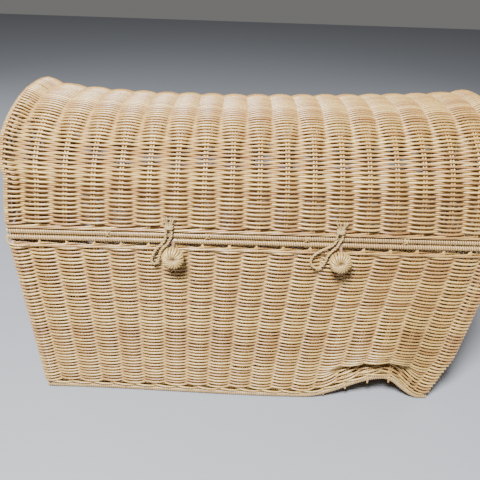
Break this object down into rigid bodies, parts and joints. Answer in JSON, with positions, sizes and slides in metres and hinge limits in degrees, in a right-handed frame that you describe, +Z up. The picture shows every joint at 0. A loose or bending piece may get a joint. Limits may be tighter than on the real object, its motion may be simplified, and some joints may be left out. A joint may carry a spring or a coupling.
{
  "type": "wicker storage trunk",
  "caption": "Wicker storage trunk with tapered woven sides, a hinged barrel lid, and wound buttons with cord loops at the front.",
  "frame": {"origin": "on the floor under the middle of the trunk, at the woven bottom's underside", "axes": "+Z up, +X along the long side to the right seen from the front, front faces -Y"},
  "size_m": [0.84, 0.4267, 0.5661],
  "materials": {
    "weave": "satin peeled cane, plain weave",
    "stakes": "satin round cane",
    "wale": "satin twisted cane",
    "rods": "satin thick cane rod",
    "binding": "satin fine cane, wound edge to edge",
    "strapping": "satin flat cane strap",
    "buttons": "satin fine cane, wound over a core",
    "cord": "matt twisted plant-fibre cord",
    "staples": "dull drawn wire"
  },
  "bodies": {
    "body": {"bottom_panel": "weave", "bottom_stakes": "stakes", "base_front_rail": "rods", "base_back_rail": "rods", "base_left_rail": "rods", "base_right_rail": "rods", "base_binding": "binding", "front_left_post": "rods", "front_right_post": "rods", "back_left_post": "rods", "back_right_post": "rods", "front_wall": "weave", "back_wall": "weave", "left_wall": "weave", "right_wall": "weave", "front_stakes": "stakes", "back_stakes": "stakes", "left_stakes": "stakes", "right_stakes": "stakes", "lower_wale": "wale", "upper_wale": "wale", "rim_front_rail": "rods", "rim_back_rail": "rods", "rim_left_rail": "rods", "rim_right_rail": "rods", "rim_binding": "binding", "rim_staples": "staples"},
    "lid": {"lid_front_rail": "rods", "lid_back_rail": "rods", "lid_left_rail": "rods", "lid_right_rail": "rods", "lid_binding": "binding", "lid_wale": "wale", "lid_rail_ties": "strapping", "lid_dome": "weave", "lid_stakes": "stakes", "lid_left_end": "weave", "lid_right_end": "weave", "lid_left_end_stakes": "stakes", "lid_right_end_stakes": "stakes", "lid_left_hoop": "rods", "lid_right_hoop": "rods", "left_hinge_loop": "strapping", "middle_hinge_loop": "strapping", "right_hinge_loop": "strapping", "left_loop_knot": "cord", "right_loop_knot": "cord"},
    "left_button": {"left_button": "buttons", "left_button_stem": "strapping"},
    "right_button": {"right_button": "buttons", "right_button_stem": "strapping"},
    "left_loop": {"left_closing_loop": "cord"},
    "right_loop": {"right_closing_loop": "cord"}
  },
  "joints": [
    {"name": "lid_hinge", "type": "hinge", "parent": "body", "child": "lid", "pos_m": [0, 0.195, 0.355], "axis": [-1, 0, 0], "range_deg": [0, 105]},
    {"name": "left_button_swing", "type": "hinge", "parent": "body", "child": "left_button", "pos_m": [-0.142, -0.195, 0.355], "axis": [-1, 0, 0], "range_deg": [0, 60]},
    {"name": "left_loop_swing", "type": "hinge", "parent": "lid", "child": "left_loop", "pos_m": [-0.148, -0.20325, 0.388], "axis": [-1, 0, 0], "range_deg": [0, 95]},
    {"name": "right_button_swing", "type": "hinge", "parent": "body", "child": "right_button", "pos_m": [0.142, -0.195, 0.355], "axis": [-1, 0, 0], "range_deg": [0, 60]},
    {"name": "right_loop_swing", "type": "hinge", "parent": "lid", "child": "right_loop", "pos_m": [0.1384, -0.20325, 0.388], "axis": [-1, 0, 0], "range_deg": [0, 95]}
  ]
}
